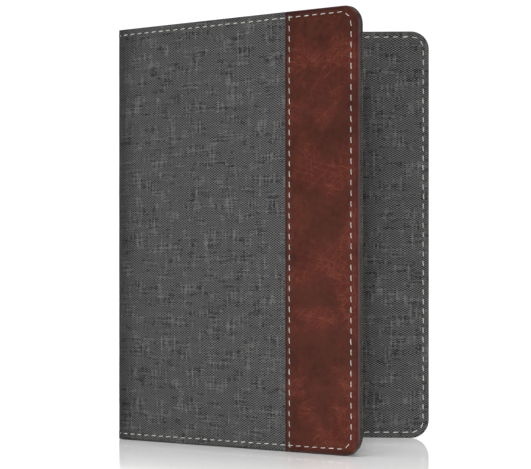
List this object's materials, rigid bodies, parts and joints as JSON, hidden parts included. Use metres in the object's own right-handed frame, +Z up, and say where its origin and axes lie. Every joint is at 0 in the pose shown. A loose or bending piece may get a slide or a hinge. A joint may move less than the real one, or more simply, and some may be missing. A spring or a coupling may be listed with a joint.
{
  "type": "folio tablet case",
  "caption": "Book-style folio case for a tablet: fabric covers with a leather strip, a folding spine, and a moulded tray inside.",
  "frame": {"origin": "middle of the holder cover's bottom edge, on the surface that the case stands on", "axes": "+Z up along the covers' long edges; +X along the holder cover from its fold to its free edge; -Y out of the holder cover's outer face"},
  "size_m": [0.1924, 0.131, 0.254],
  "materials": {
    "outer_fabric": "matte charcoal slub weave",
    "leather": "distressed reddish brown, satin",
    "lining_fabric": "matte charcoal weave",
    "board": "grey pressed paperboard",
    "thread": "pale twisted thread",
    "tray_plastic": "fine matte texture",
    "tray_pad": "brushed microfibre",
    "tape": "white foam tape",
    "magnet": "nickel plated"
  },
  "bodies": {
    "holder_cover": {"holder_fabric": "outer_fabric", "leather_strip": "leather", "holder_board": "board", "holder_lining": "lining_fabric", "holder_outer_seam": "thread", "holder_inner_seam": "thread", "strip_seam": "thread", "holder_magnet_upper": "magnet", "holder_magnet_lower": "magnet", "tray_shell": "tray_plastic", "tray_pad": "tray_pad", "tray_tape_upper": "tape", "tray_tape_lower": "tape"},
    "spine": {"spine_fabric": "outer_fabric", "spine_stiffener": "board", "spine_lining": "lining_fabric", "spine_outer_seam_upper": "thread", "spine_outer_seam_lower": "thread", "spine_inner_seam_upper": "thread", "spine_inner_seam_lower": "thread"},
    "screen_cover": {"screen_fabric": "outer_fabric", "screen_board": "board", "screen_lining": "lining_fabric", "screen_outer_seam": "thread", "screen_inner_seam": "thread", "screen_magnet_upper": "magnet", "screen_magnet_lower": "magnet"}
  },
  "joints": [
    {"name": "holder_fold", "type": "hinge", "parent": "spine", "child": "holder_cover", "pos_m": [-0.0935, 0, 0], "axis": [0, 0, -1], "range_deg": [-18.5, 161.5]},
    {"name": "screen_fold", "type": "hinge", "parent": "spine", "child": "screen_cover", "pos_m": [-0.09826, 0.01422, 0], "axis": [0, 0, 1], "range_deg": [-18.5, 161.5]}
  ]
}
